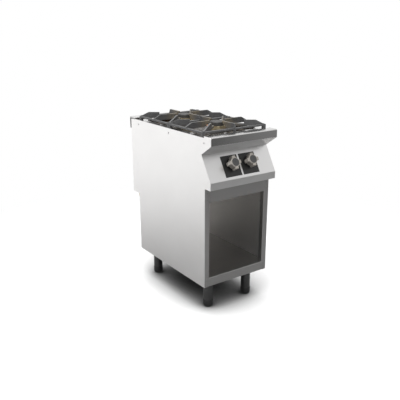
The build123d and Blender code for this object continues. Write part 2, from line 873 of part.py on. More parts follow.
def corner_fin(x_side, y_side, x_half, y_half, bar_low):
    """A bar from the corner that points to the burner, and the plate that stands on it.

    The plates of two opposite corners rise at the corner, and the other two slope up to the burner.
    """
    reach = math.hypot(x_half, y_half) - fin_thickness
    if x_side == y_side:
        top = [
            (ramp_foot_radius, bar_low),
            (ramp_tip_radius, grid_top),
            (ramp_tip_radius + ramp_top_length, grid_top),
        ]
    else:
        run = fin_rise_run * reach / x_half
        top = [(fin_inner_radius, bar_low), (fin_inner_radius, grid_top), (reach - run, grid_top)]
    points = top + [(reach, grid_bar_top), (reach, bar_low)]
    angle = math.degrees(math.atan2(y_side * y_half, x_side * x_half))
    bar_high = grid_bar_top + diagonal_bar_rise
    bar = [
        (diagonal_bar_inner_radius, bar_low),
        (diagonal_bar_inner_radius, bar_high),
        (reach, bar_high),
        (reach, bar_low),
    ]
    return upright_plate(points, fin_thickness, angle) + upright_plate(bar, diagonal_bar_width, angle)


def corner_foot(x_side, y_side, x_half, y_half, bar_low):
    x_range = sorted((x_side * x_half, x_side * (x_half - grid_foot)))
    y_range = sorted((y_side * y_half, y_side * (y_half - grid_foot)))
    return block(x_range, y_range, (ledge_height, bar_low + 1))


def mid_foot(y_side, y_half, bar_low):
    y_range = sorted((y_side * y_half, y_side * (y_half - grid_bar_width)))
    return block((-mid_foot_width / 2, mid_foot_width / 2), y_range, (ledge_height, bar_low + 1))


def finger_points(half, run, bar_low):
    return [
        (finger_reach_radius, grid_top - finger_tip_depth),
        (finger_reach_radius, grid_top),
        (half - run, grid_top),
        (half, grid_bar_top),
        (half, bar_low),
        (finger_root_radius, bar_low),
    ]


def side_finger(x_side, x_half, bar_low):
    angle = 0 if x_side > 0 else 180
    return upright_plate(finger_points(x_half, side_finger_rise_run, bar_low), finger_width, angle)


def cross_finger(y_side, y_half, bar_low):
    return upright_plate(finger_points(y_half, cross_finger_rise_run, bar_low), finger_width, 90 * y_side)


# Stand
def make_base_floor():
    flange_y = base_back_y - side_sheet - sheet_gap
    points = [
        (base_front_y + rail_depth / 2, floor_to_base),
        (base_front_y, floor_to_base),
        (base_front_y, bottom_rail_top),
        (flange_y, bottom_rail_top),
        (flange_y, floor_to_base),
    ]
    tray = folded_along_x(points[::-1], side_sheet, (-bottom_rail_half, bottom_rail_half))
    half = inner_half - sheet_gap
    strip_y = (base_front_y + post_depth + 1, flange_y - rear_post_width - 1)
    strips = block((-half, half), strip_y, (bottom_rail_top - side_sheet, bottom_rail_top))
    return tray + strips


def make_top_rail():
    points = [
        (base_front_y + rail_depth, lower_nose_bottom),
        (base_front_y, lower_nose_bottom),
        (base_front_y, top_rail_bottom),
        (base_front_y + rail_depth, top_rail_bottom),
    ]
    half = opening_half_width - sheet_gap
    return folded_along_x(points, side_sheet, (-half, half))


def make_front_post():
    outer = inner_half - sheet_gap
    points = [
        (outer, base_front_y + post_depth),
        (outer, base_front_y),
        (opening_half_width, base_front_y),
        (opening_half_width, base_front_y + post_depth),
    ]
    low = bottom_rail_top + sheet_gap
    channel = folded_along_z(points[::-1], side_sheet, (low, lower_nose_bottom))
    strip = block(
        (bottom_rail_half + sheet_gap, outer - bend),
        (base_front_y, base_front_y + side_sheet),
        (floor_to_base, low),
    )
    post_shape = channel + strip
    for z in front_screw_heights():
        x = half_width - screw_inset
        post_shape -= Pos(x, base_front_y, z) * Rot(90, 0, 0) * Cylinder(screw_shank_radius, 2 * screw_length)
    return post_shape


def front_screw_heights():
    top = lower_nose_bottom - rail_screw_drop
    bottom = floor_to_base + screw_edge
    return [bottom, bottom + screw_pair, top - rail_screw_pair, top]


def make_front_screws():
    screws = []
    for side in (-1, 1):
        x = side * (half_width - screw_inset)
        for z in front_screw_heights():
            place = Pos(x, base_front_y, z) * Rot(90, 0, 0)
            head = place * Pos(0, 0, screw_head_height / 2) * Cylinder(screw_head_radius, screw_head_height)
            head = fillet(head.edges().group_by(Axis.Y)[0], screw_head_height / 2)
            shank = place * Pos(0, 0, -screw_length / 2) * Cylinder(screw_shank_radius, screw_length)
            screws.append(head + shank)
    return Compound(screws)


def make_rear_post():
    outer = inner_half - sheet_gap
    back = base_back_y - side_sheet - sheet_gap
    points = [(outer - rear_post_width, back), (outer, back), (outer, back - rear_post_width)]
    top = ceiling_height - side_sheet - sheet_gap
    return folded_along_z(points[::-1], side_sheet, (floor_to_base + 1, top))


def make_lower_back():
    half = inner_half - sheet_gap
    top = ceiling_height - side_sheet
    return block((-half, half), (base_back_y - side_sheet, base_back_y), (floor_to_base, top))


def make_rear_shelf():
    """The sheet that closes the rear step, with a hole for the gas inlet."""
    half = inner_half - sheet_gap
    y_range = (base_back_y + sheet_gap, setback(upper_back_setback))
    shelf = block((-half, half), y_range, (rear_step_height, rear_step_height + side_sheet))
    lip_top = rear_step_height + shelf_lip
    lip = block((-half, half), (y_range[0], y_range[0] + side_sheet), (rear_step_height, lip_top))
    x = -supply_side_offset
    hole_low = rear_step_height - side_sheet
    hole_high = rear_step_height + 2 * side_sheet
    hole = post(x, setback(inlet_setback), hole_low, hole_high, inlet_radius + sheet_gap)
    return shelf + lip - hole


def make_upper_back():
    half = inner_half - sheet_gap
    y_high = setback(upper_back_setback)
    low = rear_step_height + side_sheet + sheet_gap
    panel = block((-half, half), (y_high - side_sheet, y_high), (low, side_top - upper_back_drop))
    slot = extrude(SlotOverall(vent_length, vent_height), amount=side_sheet * 2, both=True)
    for index in range(vent_count):
        x = (index - (vent_count - 1) / 2) * vent_pitch
        panel -= Pos(x, y_high, side_top - vent_drop) * Rot(90, 0, 0) * slot
    return panel


def make_ceiling():
    half = inner_half - sheet_gap
    y_range = (base_front_y + post_depth + sheet_gap, base_back_y)
    return block((-half, half), y_range, (ceiling_height - side_sheet, ceiling_height))


# Hob frame
def make_side_rail():
    outer = inner_half - sheet_gap - top_sheet - sheet_gap
    low = rail_floor()
    wall = block((outer - side_sheet, outer), hob_rail_range(), (low, ledge_height - top_sheet - sheet_gap))
    sill = block((well_half_width - rail_sill_overlap, outer), hob_rail_range(), (low, low + side_sheet))
    rail = wall + sill
    drill = Rot(0, 90, 0) * Cylinder(joining_hole_radius, drill_reach)
    for y in joining_hole_ys()[1:]:
        rail -= Pos(outer, y, joining_hole_height) * drill
    return rail


def rail_floor():
    return well_floor - top_sheet - rail_drop


def hob_rail_range():
    play = side_sheet + sheet_gap
    return (setback(recess_setback) + play, setback(upper_back_setback) - play)


def make_burner_beam(burner_y):
    low = rail_floor() + side_sheet
    high = well_floor - top_sheet - sheet_gap
    half_x = inner_half - 2 * top_sheet - side_sheet - 3 * sheet_gap
    half_y = burner_beam_width / 2
    points = [
        (burner_y - half_y, low),
        (burner_y - half_y, high),
        (burner_y + half_y, high),
        (burner_y + half_y, low),
    ]
    beam = folded_along_x(points[::-1], side_sheet, (-half_x, half_x))
    beam -= post(0, burner_y, high - beam_cup_depth, high + 1, crown_radius + beam_cup_gap)
    notch_half = mixing_radius + beam_cup_gap
    notch_y = (burner_y - burner_beam_width, burner_y)
    return beam - block((-notch_half, notch_half), notch_y, (low - 1, low + beam_notch_height))


# Legs and feet
def leg_ys():
    return [setback(front_leg_setback), setback(rear_leg_setback)]


def make_leg_beam(y):
    """A hat section under the floor that carries two legs."""
    low = floor_to_base + mount_step
    high = bottom_rail_top - side_sheet - sheet_gap
    half = beam_width / 2
    points = [
        (y - half - beam_flange, high - side_sheet),
        (y - half, high - side_sheet),
        (y - half, low),
        (y + half, low),
        (y + half, high - side_sheet),
        (y + half + beam_flange, high - side_sheet),
    ]
    beam = folded_along_x(points, side_sheet, (-beam_half_length, beam_half_length))
    for x, by in leg_bolt_places(y):
        beam -= post(x, by, low - 1, low + side_sheet + 1, bolt_hole_radius)
    return beam


def leg_bolt_places(y):
    places = []
    for side in (-1, 1):
        for angle in (45, 135, 225, 315):
            x = side * leg_half_spacing + leg_bolt_circle * math.cos(math.radians(angle))
            places.append((x, y + leg_bolt_circle * math.sin(math.radians(angle))))
    return places


def make_leg(x, y):
    top = floor_to_base + mount_step
    flange_low = top - leg_flange_thickness
    leg = post(x, y, leg_bottom, top, leg_radius)
    leg -= post(x, y, leg_bottom - 1, flange_low, leg_inner_radius)
    leg += post(x, y, flange_low, top, leg_flange_radius)
    for bx, by in leg_bolt_places(y):
        leg -= post(bx, by, flange_low - 1, top + 1, bolt_hole_radius)
    return leg


def make_leg_bolts():
    bolts = []
    low = floor_to_base + mount_step - leg_flange_thickness
    for y in leg_ys():
        for x, by in leg_bolt_places(y):
            bolt = post(x, by, low - bolt_head_height, low, bolt_head_radius)
            bolt += post(x, by, low - 1, low + bolt_length, bolt_radius)
            nut_low = floor_to_base + mount_step + side_sheet
            nut_face = RegularPolygon(bolt_head_radius, 6, major_radius=False)
            nut = Pos(x, by, nut_low) * extrude(nut_face, amount=nut_height)
            bolts.append(bolt + nut)
    return Compound(bolts)


def make_foot(x, y):
    sole = Pos(x, y, 0) * foot_cup()
    stem = post(x, y, leg_bottom - 1, foot_stem_height, leg_inner_radius - foot_clearance)
    hollow = post(x, y, leg_bottom + foot_floor, foot_stem_height + 1, leg_inner_radius - foot_stem_wall)
    return sole + stem - hollow


def foot_cup():
    top = leg_bottom - sheet_gap
    outline = Polyline(
        (0, 0), (foot_sole_radius, 0), (foot_radius - foot_edge, foot_taper_height / 2),
        (foot_radius, foot_taper_height), (foot_radius, top), (0, top), close=True,
    )
    return revolve(make_face(Plane.XZ * outline), axis=Axis.Z)


def make_door_inserts():
    """Clinched nuts on the inner face of each side, ready for a door's hinges."""
    nuts = []
    for side in (-1, 1):
        for z in (insert_low, insert_high):
            nut = Cylinder(insert_radius, insert_height) - Cylinder(insert_bore, insert_height)
            x = side * (inner_half - insert_height / 2)
            nuts.append(Pos(x, setback(insert_setback), z) * Rot(0, 90, 0) * nut)
    return Compound(nuts)


# Gas and pilot lines
def tap_point(x, across, up):
    """A point in the tap's outlet plane: across is along X, up is along the slope."""
    return control_plane(x).from_local_coords(Vector(across, up, -outlet_depth()))


def feed_start(x):
    start = tap_point(x, 0, tap_radius + outlet_stub)
    rise = (feed_height - start.Z) / slope_z
    corner = tap_point(x, 0, tap_radius + outlet_stub + rise)
    return [tuple(start), tuple(corner)]


def make_front_feed():
    y = injector_y(burner_ys[0])
    points = feed_start(control_xs[1])
    points += [(0, y, feed_height), (0, y, injector_stub_end())]
    return tube_along(points, [feed_bend] * 2, outlet_radius, outlet_bore)


def make_rear_feed():
    x = control_xs[0]
    y = injector_y(burner_ys[1])
    points = feed_start(x)
    points += [(x, y, feed_height), (0, y, feed_height), (0, y, injector_stub_end())]
    return tube_along(points, [feed_bend] * 3, outlet_radius, outlet_bore)


def line_from_tap(x, side, side_reach, run_height, end_x, burner_y, radius):
    """A thin line from a tap's side stub, up behind the slope, back, and up to what it serves."""
    start = tap_point(x, side * (tap_radius + side_stub), 0)
    rise = (run_height - start.Z) / slope_z
    turn = tap_point(x, side * side_reach, 0)
    top = tap_point(x, side * side_reach, rise)
    y = burner_y + pilot_y_offset()
    points = [
        tuple(start),
        tuple(turn),
        tuple(top),
        (top.X, y, run_height),
        (end_x, y, run_height),
        (end_x, y, igniter_bottom()),
    ]
    path = FilletPolyline(*points, radius=line_bend)
    return sweep(Plane(origin=path @ 0, z_dir=path % 0) * Circle(radius), path=path)


def make_pilot_line(x, side, burner_y):
    reach = tap_radius + side_stub + line_side_gap
    end_x = side * igniter_spread
    return line_from_tap(x, side, reach, pilot_line_height, end_x, burner_y, pilot_line_radius)


def make_thermocouple_lead(x, side, burner_y):
    reach = abs(x) - lead_side_offset
    return line_from_tap(x, -side, reach, lead_height, -side * igniter_spread, burner_y, lead_radius)


def save_group(name, shapes):
    save(name, Compound(list(shapes)))


def make_stand():
    save_pair("side_panel", make_side_panel())
    save("base_floor", make_base_floor())
    save("top_rail", make_top_rail())
    save_pair("front_post", make_front_post())
    save_group("rear_posts", [make_rear_post(), mirrored(make_rear_post())])
    save("lower_back", make_lower_back())
    save("upper_back", make_upper_back())
    save("rear_shelf", make_rear_shelf())
    save("compartment_ceiling", make_ceiling())
    save("front_screws", make_front_screws())
    save("door_inserts", make_door_inserts())
    save_group("leg_beams", [make_leg_beam(y) for y in leg_ys()])
    places = [(side, y) for y in leg_ys() for side in (-1, 1)]
    save_group("leg_tubes", [make_leg(side * leg_half_spacing, y) for side, y in places])
    save("leg_bolts", make_leg_bolts())
    names = ["front_left", "front_right", "rear_left", "rear_right"]
    for name, (side, y) in zip(names, places):
        save(f"foot_{name}", make_foot(side * leg_half_spacing, y))


def make_hob():
    save("worktop", make_worktop())
    save("burner_well", make_burner_well())
    save("control_panel", make_control_panel())
    save_group("hob_rails", [make_side_rail(), mirrored(make_side_rail())])
    save_group("burner_beams", [make_burner_beam(y) for y in burner_ys])
    save_group("injectors", [make_injector(y) for y in burner_ys])
    save_group("injector_brackets", [make_injector_bracket(y) for y in burner_ys])
    save_group("pilots", [make_pilot(y, side) for _, side, y in served])
    save_group("thermocouples", [make_thermocouple(y, side) for _, side, y in served])
    for word, outward, y in zip(("front", "rear"), (-1, 1), burner_ys):
        save(f"pan_support_{word}", make_grid(y, outward))
        save(f"burner_body_{word}", make_burner_body(y))
        save(f"burner_crown_{word}", make_crown(y))
        save(f"burner_cap_{word}", make_cap(y))


def make_gas_train():
    save("manifold", make_manifold())
    save("manifold_plug", make_manifold_plug())
    save_group("manifold_brackets", [make_manifold_bracket(1), make_manifold_bracket(-1)])
    save("supply_tube", make_supply_tube())
    save("gas_inlet", make_gas_inlet())
    save("feed_tube_front", make_front_feed())
    save("feed_tube_rear", make_rear_feed())
    save_group("pilot_lines", [make_pilot_line(x, side, y) for x, side, y in served])
    save_group("thermocouple_leads", [make_thermocouple_lead(x, side, y) for x, side, y in served])
    for word, x in zip(("left", "right"), control_xs):
        save(f"tap_body_{word}", make_tap_body(x))
        save(f"tap_plug_{word}", make_tap_plug(x))


def make_controls():
    save_group("knob_plates", [make_knob_plate(x) for x in control_xs])
    save_group("spindle_seals", [make_spindle_seal(x) for x in control_xs])
    for word, x in zip(("left", "right"), control_xs):
        save(f"knob_{word}", make_knob_body(x))
        save(f"knob_disc_{word}", make_knob_disc(x))
        save(f"knob_pointer_{word}", make_knob_pointer(x))
        save(f"spindle_{word}", make_spindle(x))


os.makedirs("parts", exist_ok=True)
make_stand()
make_hob()
make_gas_train()
make_controls()
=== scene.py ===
import json
import math

import bpy
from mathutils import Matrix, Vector


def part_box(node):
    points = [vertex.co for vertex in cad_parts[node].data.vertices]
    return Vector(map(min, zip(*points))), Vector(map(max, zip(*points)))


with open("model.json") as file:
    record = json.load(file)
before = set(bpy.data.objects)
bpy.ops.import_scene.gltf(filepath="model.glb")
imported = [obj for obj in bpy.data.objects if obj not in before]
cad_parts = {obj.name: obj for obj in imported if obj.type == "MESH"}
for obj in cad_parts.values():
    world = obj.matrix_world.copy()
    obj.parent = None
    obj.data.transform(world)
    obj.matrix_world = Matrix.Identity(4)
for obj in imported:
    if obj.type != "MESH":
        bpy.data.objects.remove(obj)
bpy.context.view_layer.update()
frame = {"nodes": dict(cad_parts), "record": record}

NODES = frame["nodes"]
SLOT_OF = {part["node"]: part["material_slot"] for part in frame["record"]["subparts"]}

# Camera, at the photograph's place
CAMERA_PLACE = (-1.6050, -2.2802, 1.3846)
CAMERA_AZIMUTH = -35.190
CAMERA_ELEVATION = 17.854
CAMERA_LENS = 48.43
SENSOR_WIDTH = 36.0

# Soft light of the world: its levels, where 1 is white, and the band where it rises.
# Bands of the world are parts of a direction, from -1 to 1.
LOW_LIGHT = 0.13
HIGH_LIGHT = 0.95
RISE_BAND = (0.05, 0.90)

# Studio in reflections: its levels where it is dim, the bands where it turns dim,
# and the share of the dimness that is left at the far left and the far right
DIM_FRONT = 0.11
DIM_STRIP = 0.45
FRONT_BAND = (-0.70, 0.05)
LOW_BAND = (0.10, 0.50)
LEFT_BAND = (-0.50, 0.10)
LEFT_SHARE = 0.62
RIGHT_BAND = (0.35, 0.90)
RIGHT_SHARE = 0.72
STRIP_START = (0.10, 0.35)
STRIP_END = (0.52, 0.68)

# Lamps: name, place, target, sides in metres and power in watts
LAMPS = (
    ("left_soft", (-1.6, -0.8, 3.2), (0, 0, 0.5), (2.4, 2.4), 50),
    ("top_soft", (-0.1, 0.1, 3.6), (0, 0, 0.5), (2.6, 2.6), 85),
    ("front_soft", (-0.7, -2.4, 1.3), (0, 0, 0.4), (1.2, 1.2), 8),
)

# Floor: its colours, its radius and bands in metres, its number of sides,
# and the share of its paleness that is left in front
# Near the object, the near colour is painted shade.
FLOOR_NEAR = (0.22, 0.22, 0.22)
FLOOR_FAR = (0.68, 0.68, 0.68)
# The shade colour is a painted shadow under the object.
FLOOR_PAINTED_SHADOW = (0.02, 0.02, 0.02)
FLOOR_SEEN = (0.94, 0.94, 0.94)
FLOOR_RADIUS = 2.6
FLOOR_STEPS = 96
FAR_BAND = (0.4, 2.5)
BEHIND_BAND = (-0.5, 0.3)
FRONT_SHARE = 0.12
WHITE_BAND = (0.6, 2.0)

# Painted shadow on the floor, darkened by ambient occlusion: its reach in metres, and the band of
# openness over which it ends
PAINTED_SHADOW_REACH = 0.40
PAINTED_SHADOW_BAND = (0.12, 0.90)

# Painted reflection of the brass burners: brown mottling on the pan supports, fading with the
# distance from a support's middle in metres
PAINTED_REFLECTION_COLOUR = (0.22, 0.18, 0.115)
PAINTED_REFLECTION_BAND = (0.06, 0.135)

# Part of a noise's range in which its values mostly lie
NOISE_BAND = (0.3, 0.7)

# Stretch of a texture: even, or drawn out along one axis as brush lines are
EVEN = (1, 1, 1)
ALONG_X = (0.02, 1, 1)
ALONG_Y = (1, 0.02, 1)
ALONG_Z = (1, 1, 0.02)

# Clear coat on the legs and feet
COAT_ROUGHNESS = 0.06
COAT_IOR = 1.9

# Outline of a pan support, from the frame
GRID_LOW, GRID_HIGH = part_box("pan_support_front")
GRID_SIZE = (GRID_HIGH[0] - GRID_LOW[0], GRID_HIGH[1] - GRID_LOW[1])


class Nodes:
    """A helper that adds shader nodes to an emptied tree and links them."""

    def __init__(self, tree):
        self.tree = tree
        tree.nodes.clear()

    @classmethod
    def of(cls, material):
        """The helper for a material that is made already, with its nodes kept."""
        helper = cls.__new__(cls)
        helper.tree = material.node_tree
        return helper

    def shader(self):
        return next(node for node in self.tree.nodes if node.type == "BSDF_PRINCIPLED")

    def add(self, kind, **settings):
        node = self.tree.nodes.new(kind)
        for name, value in settings.items():
            setattr(node, name, value)
        return node

    def link(self, source, target):
        self.tree.links.new(source, target)


def new_material(name):
    material = bpy.data.materials.new(name)
    material.use_nodes = True
    nodes = Nodes(material.node_tree)
    output = nodes.add("ShaderNodeOutputMaterial")
    shader = nodes.add("ShaderNodeBsdfPrincipled")
    nodes.link(shader.outputs["BSDF"], output.inputs["Surface"])
    return material, nodes, shader


def object_coordinates(nodes, stretch):
    """Coordinates in metres, stretched where a texture runs long along one axis."""
    coordinates = nodes.add("ShaderNodeTexCoord")
    mapping = nodes.add("ShaderNodeMapping")
    mapping.inputs["Scale"].default_value = stretch
    nodes.link(coordinates.outputs["Object"], mapping.inputs["Vector"])
    return mapping.outputs["Vector"]


def noise(nodes, vector, scale, detail, roughness):
    texture = nodes.add("ShaderNodeTexNoise")
    texture.inputs["Scale"].default_value = scale
    texture.inputs["Detail"].default_value = detail
    texture.inputs["Roughness"].default_value = roughness
    nodes.link(vector, texture.inputs["Vector"])
    return texture.outputs["Fac"]


def spread(nodes, value, low, high):
    """Maps the band of a noise to a range."""
    mapper = nodes.add("ShaderNodeMapRange")
    mapper.inputs["From Min"].default_value = NOISE_BAND[0]
    mapper.inputs["From Max"].default_value = NOISE_BAND[1]
    mapper.inputs["To Min"].default_value = low
    mapper.inputs["To Max"].default_value = high
    nodes.link(value, mapper.inputs["Value"])
    return mapper.outputs["Result"]


def colour_sockets(sockets):
    """The sockets of a Mix node that carry colours."""
    return [socket for socket in sockets if socket.type == "RGBA"]


def mix_colours(nodes, value, dark, light):
    mixer = nodes.add("ShaderNodeMix", data_type="RGBA")
    low, high = colour_sockets(mixer.inputs)
    low.default_value = (*dark, 1)
    high.default_value = (*light, 1)
    nodes.link(value, mixer.inputs[0])
    return colour_sockets(mixer.outputs)[0]


def scaled(colour, factor):
    return tuple(min(1.0, channel * factor) for channel in colour)


def clouded(nodes, clouds, colour, variation):
    """A colour that drifts a little darker and lighter with a noise."""
    drift = spread(nodes, clouds, 0, 1)
    return mix_colours(nodes, drift, scaled(colour, 1 - variation), scaled(colour, 1 + variation))


def bump(nodes, height, strength, distance):
    node = nodes.add("ShaderNodeBump")
    node.inputs["Strength"].default_value = strength
    node.inputs["Distance"].default_value = distance
    nodes.link(height, node.inputs["Height"])
    return node.outputs["Normal"]


def brushed(name, colour, roughness, grain, metallic=1.0, variation=0.05, relief=0.12,
            unevenness=0.06):
    """Brushed sheet: fine lines along one axis, with broad, faint clouds of wear."""
    material, nodes, shader = new_material(name)
    lines = noise(nodes, object_coordinates(nodes, grain), scale=900.0, detail=2.0, roughness=0.7)
    plain = object_coordinates(nodes, EVEN)
    clouds = noise(nodes, plain, scale=5.0, detail=4.0, roughness=0.6)
    nodes.link(clouded(nodes, clouds, colour, variation), shader.inputs["Base Color"])
    gloss = spread(nodes, lines, roughness - unevenness, roughness + unevenness)
    nodes.link(gloss, shader.inputs["Roughness"])
    nodes.link(bump(nodes, lines, relief, distance=0.0004), shader.inputs["Normal"])
    shader.inputs["Metallic"].default_value = metallic
    return material


def cast(name, colour, roughness, metallic, grain=260.0, relief=0.35, variation=0.18,
         unevenness=0.1):
    """Iron, brass, copper or zinc: a fine pitted skin with uneven gloss."""
    material, nodes, shader = new_material(name)
    plain = object_coordinates(nodes, EVEN)
    pits = noise(nodes, plain, scale=grain, detail=6.0, roughness=0.65)
    clouds = noise(nodes, plain, scale=22.0, detail=4.0, roughness=0.6)
    nodes.link(clouded(nodes, clouds, colour, variation), shader.inputs["Base Color"])
    gloss = spread(nodes, pits, roughness - unevenness, roughness + unevenness)
    nodes.link(gloss, shader.inputs["Roughness"])
    nodes.link(bump(nodes, pits, relief, distance=0.0008), shader.inputs["Normal"])
    shader.inputs["Metallic"].default_value = metallic
    return material


def moulded(name, colour, roughness, metallic=0.0, grain=1400.0, relief=0.08, variation=0.06,
            unevenness=0.05):
    """Plastic, rubber or painted steel: an even skin with a very fine texture."""
    material, nodes, shader = new_material(name)
    plain = object_coordinates(nodes, EVEN)
    skin = noise(nodes, plain, scale=grain, detail=3.0, roughness=0.6)
    clouds = noise(nodes, plain, scale=60.0, detail=3.0, roughness=0.5)
    nodes.link(clouded(nodes, clouds, colour, variation), shader.inputs["Base Color"])
    gloss = spread(nodes, skin, roughness - unevenness, roughness + unevenness)
    nodes.link(gloss, shader.inputs["Roughness"])
    nodes.link(bump(nodes, skin, relief, distance=0.0002), shader.inputs["Normal"])
    shader.inputs["Metallic"].default_value = metallic
    return material


def polished_tube(name, colour, roughness, coat):
    """Dark polished tube under a clear coat: the coat's gloss grows towards the tube's sides."""
    material = brushed(name, colour, roughness, ALONG_Z, metallic=0.6, relief=0.03)
    shader = Nodes.of(material).shader()
    shader.inputs["Coat Weight"].default_value = coat
    shader.inputs["Coat Roughness"].default_value = COAT_ROUGHNESS
    shader.inputs["Coat IOR"].default_value = COAT_IOR
    return material


def make_materials():
    """One material for each material slot of the record."""
    return {
        # Painted light: the side panels' steel is a pale copy of the brushed steel, paler than the
        # fronts' because of how light falls on the side.
        "side_steel": brushed(
            "side_steel", (0.93, 0.922, 0.914), 0.38, ALONG_Y,
            variation=0.015, relief=0.06,
        ),
        "worktop_steel": brushed(
            "worktop_steel", (0.63, 0.625, 0.62), 0.15, ALONG_X,
            variation=0.02, relief=0.02, unevenness=0.02,
        ),
        "panel_steel": brushed(
            "panel_steel", (0.84, 0.835, 0.83), 0.34, ALONG_X,
            variation=0.01, relief=0.01, unevenness=0.015,
        ),
        # Painted shade: the fronts' steel is a dark copy of the same brushed steel, darker because of
        # how light falls on faces towards the front.
        "front_steel": brushed(
            "front_steel", (0.46, 0.455, 0.45), 0.34, ALONG_X,
            variation=0.02, relief=0.05,
        ),
        # Painted light: the compartment's steel is a near-white copy of the brushed steel, brighter
        # so that the compartment reads lit.
        "inner_steel": brushed(
            "inner_steel", (0.97, 0.935, 0.90), 0.50, ALONG_Y,
            metallic=0.85, relief=0.05,
        ),
        "back_steel": brushed("back_steel", (0.62, 0.62, 0.62), 0.42, ALONG_X),
        "screw_steel": brushed("screw_steel", (0.40, 0.40, 0.40), 0.35, ALONG_Z),
        "insert_steel": brushed("insert_steel", (0.10, 0.10, 0.10), 0.40, ALONG_Z),
        "galvanised": cast(
            "galvanised", (0.50, 0.52, 0.54), 0.45,
            metallic=1.0, grain=40.0, relief=0.05, variation=0.12,
        ),
        "leg_steel": polished_tube("leg_steel", (0.020, 0.020, 0.020), 0.16, coat=1.0),
        "foot_steel": polished_tube("foot_steel", (0.016, 0.016, 0.016), 0.18, coat=0.8),
        "brass": cast(
            "brass", (0.66, 0.50, 0.24), 0.32,
            metallic=1.0, grain=300.0, relief=0.08, variation=0.10,
        ),
        "pilot_steel": brushed("pilot_steel", (0.55, 0.55, 0.53), 0.3, ALONG_Z),
        "copper": cast(
            "copper", (0.72, 0.38, 0.22), 0.32,
            metallic=1.0, grain=300.0, relief=0.05, variation=0.10,
        ),
        "grid_iron": cast("grid_iron", (0.075, 0.075, 0.076), 0.48, metallic=0.0),
        "burner_iron": cast("burner_iron", (0.12, 0.115, 0.11), 0.5, metallic=0.6),
        # Painted shade: the well's steel is a dark copy of the steel, standing in for the shade under
        # the pan supports.
        "well_steel": brushed("well_steel", (0.15, 0.13, 0.11), 0.20, ALONG_X),
        "crown_brass": cast(
            "crown_brass", (0.72, 0.62, 0.42), 0.36,
            metallic=1.0, relief=0.12, variation=0.12,
        ),
        "cap_steel": cast(
            "cap_steel", (0.032, 0.031, 0.030), 0.58,
            metallic=0.0, grain=200.0, relief=0.1, variation=0.1,
        ),
        "pipe_steel": moulded("pipe_steel", (0.10, 0.10, 0.105), 0.40, metallic=0.3),
        "feed_aluminium": brushed("feed_aluminium", (0.72, 0.72, 0.73), 0.30, ALONG_X),
        "plate_black": moulded("plate_black", (0.018, 0.018, 0.018), 0.38),
        "seal_rubber": moulded("seal_rubber", (0.012, 0.012, 0.012), 0.6),
        "knob_silver": moulded("knob_silver", (0.40, 0.375, 0.34), 0.36, metallic=0.45),
        "knob_face": moulded("knob_face", (0.055, 0.055, 0.055), 0.32),
        "knob_mark": moulded("knob_mark", (0.05, 0.05, 0.05), 0.45),
    }


def smooth_step(nodes, value, band, before, after):
    """One level before a band and another after it, with a smooth change between."""
    mapper = nodes.add("ShaderNodeMapRange", interpolation_type="SMOOTHSTEP")
    mapper.inputs["From Min"].default_value = band[0]
    mapper.inputs["From Max"].default_value = band[1]
    mapper.inputs["To Min"].default_value = before
    mapper.inputs["To Max"].default_value = after
    nodes.link(value, mapper.inputs["Value"])
    return mapper.outputs["Result"]


def multiply(nodes, first, second):
    product = nodes.add("ShaderNodeMath", operation="MULTIPLY")
    nodes.link(first, product.inputs[0])
    nodes.link(second, product.inputs[1])
    return product.outputs[0]


def mix_shaders(nodes, factor, plain, chosen):
    mixer = nodes.add("ShaderNodeMixShader")
    nodes.link(factor, mixer.inputs[0])
    nodes.link(plain, mixer.inputs[1])
    nodes.link(chosen, mixer.inputs[2])
    return mixer.outputs[0]


def place_along(nodes, axis):
    """The place of a point along one axis, in the object's own coordinates."""
    coordinates = nodes.add("ShaderNodeTexCoord")
    parts = nodes.add("ShaderNodeSeparateXYZ")
    nodes.link(coordinates.outputs["Object"], parts.inputs[0])
    return parts.outputs[axis]


def paint_reflection_near_burner(material):
    """Painted reflection of the brass burner: mottled brown iron round the middle of each pan
    support.
    """
    nodes = Nodes.of(material)
    coordinates = nodes.add("ShaderNodeTexCoord")
    centred = nodes.add("ShaderNodeMapping")
    centred.inputs["Location"].default_value = (-GRID_SIZE[0] / 2, -GRID_SIZE[1] / 2, 0)
    centred.inputs["Scale"].default_value = (*GRID_SIZE, 0)
    nodes.link(coordinates.outputs["Generated"], centred.inputs["Vector"])
    length = nodes.add("ShaderNodeVectorMath", operation="LENGTH")
    nodes.link(centred.outputs["Vector"], length.inputs[0])
    near = smooth_step(nodes, length.outputs["Value"], PAINTED_REFLECTION_BAND, 1.0, 0.0)
    plain = object_coordinates(nodes, EVEN)
    mottle = noise(nodes, plain, scale=70.0, detail=4.0, roughness=0.7)
    painted_reflection = spread(nodes, mottle, 0.0, 1.0)
    shader = nodes.shader()
    mixer = nodes.add("ShaderNodeMix", data_type="RGBA")
    iron, reflected_colour = colour_sockets(mixer.inputs)
    nodes.link(shader.inputs["Base Color"].links[0].from_socket, iron)
    reflected_colour.default_value = (*PAINTED_REFLECTION_COLOUR, 1)
    # The brown mixed in here is a painted reflection of the brass burner.
    nodes.link(multiply(nodes, near, painted_reflection), mixer.inputs[0])
    nodes.link(colour_sockets(mixer.outputs)[0], shader.inputs["Base Color"])


def dress_nodes(materials):
    paint_reflection_near_burner(materials["grid_iron"])
    for name, node in NODES.items():
        material = materials[SLOT_OF[name]]
        node.data.materials.clear()
        node.data.materials.append(material)


def add_camera():
    data = bpy.data.cameras.new("camera")
    data.sensor_width = SENSOR_WIDTH
    data.lens = CAMERA_LENS
    camera = bpy.data.objects.new("camera", data)
    camera.location = CAMERA_PLACE
    camera.rotation_euler = (math.radians(90 - CAMERA_ELEVATION), 0, math.radians(CAMERA_AZIMUTH))
    bpy.context.collection.objects.link(camera)
    bpy.context.scene.camera = camera


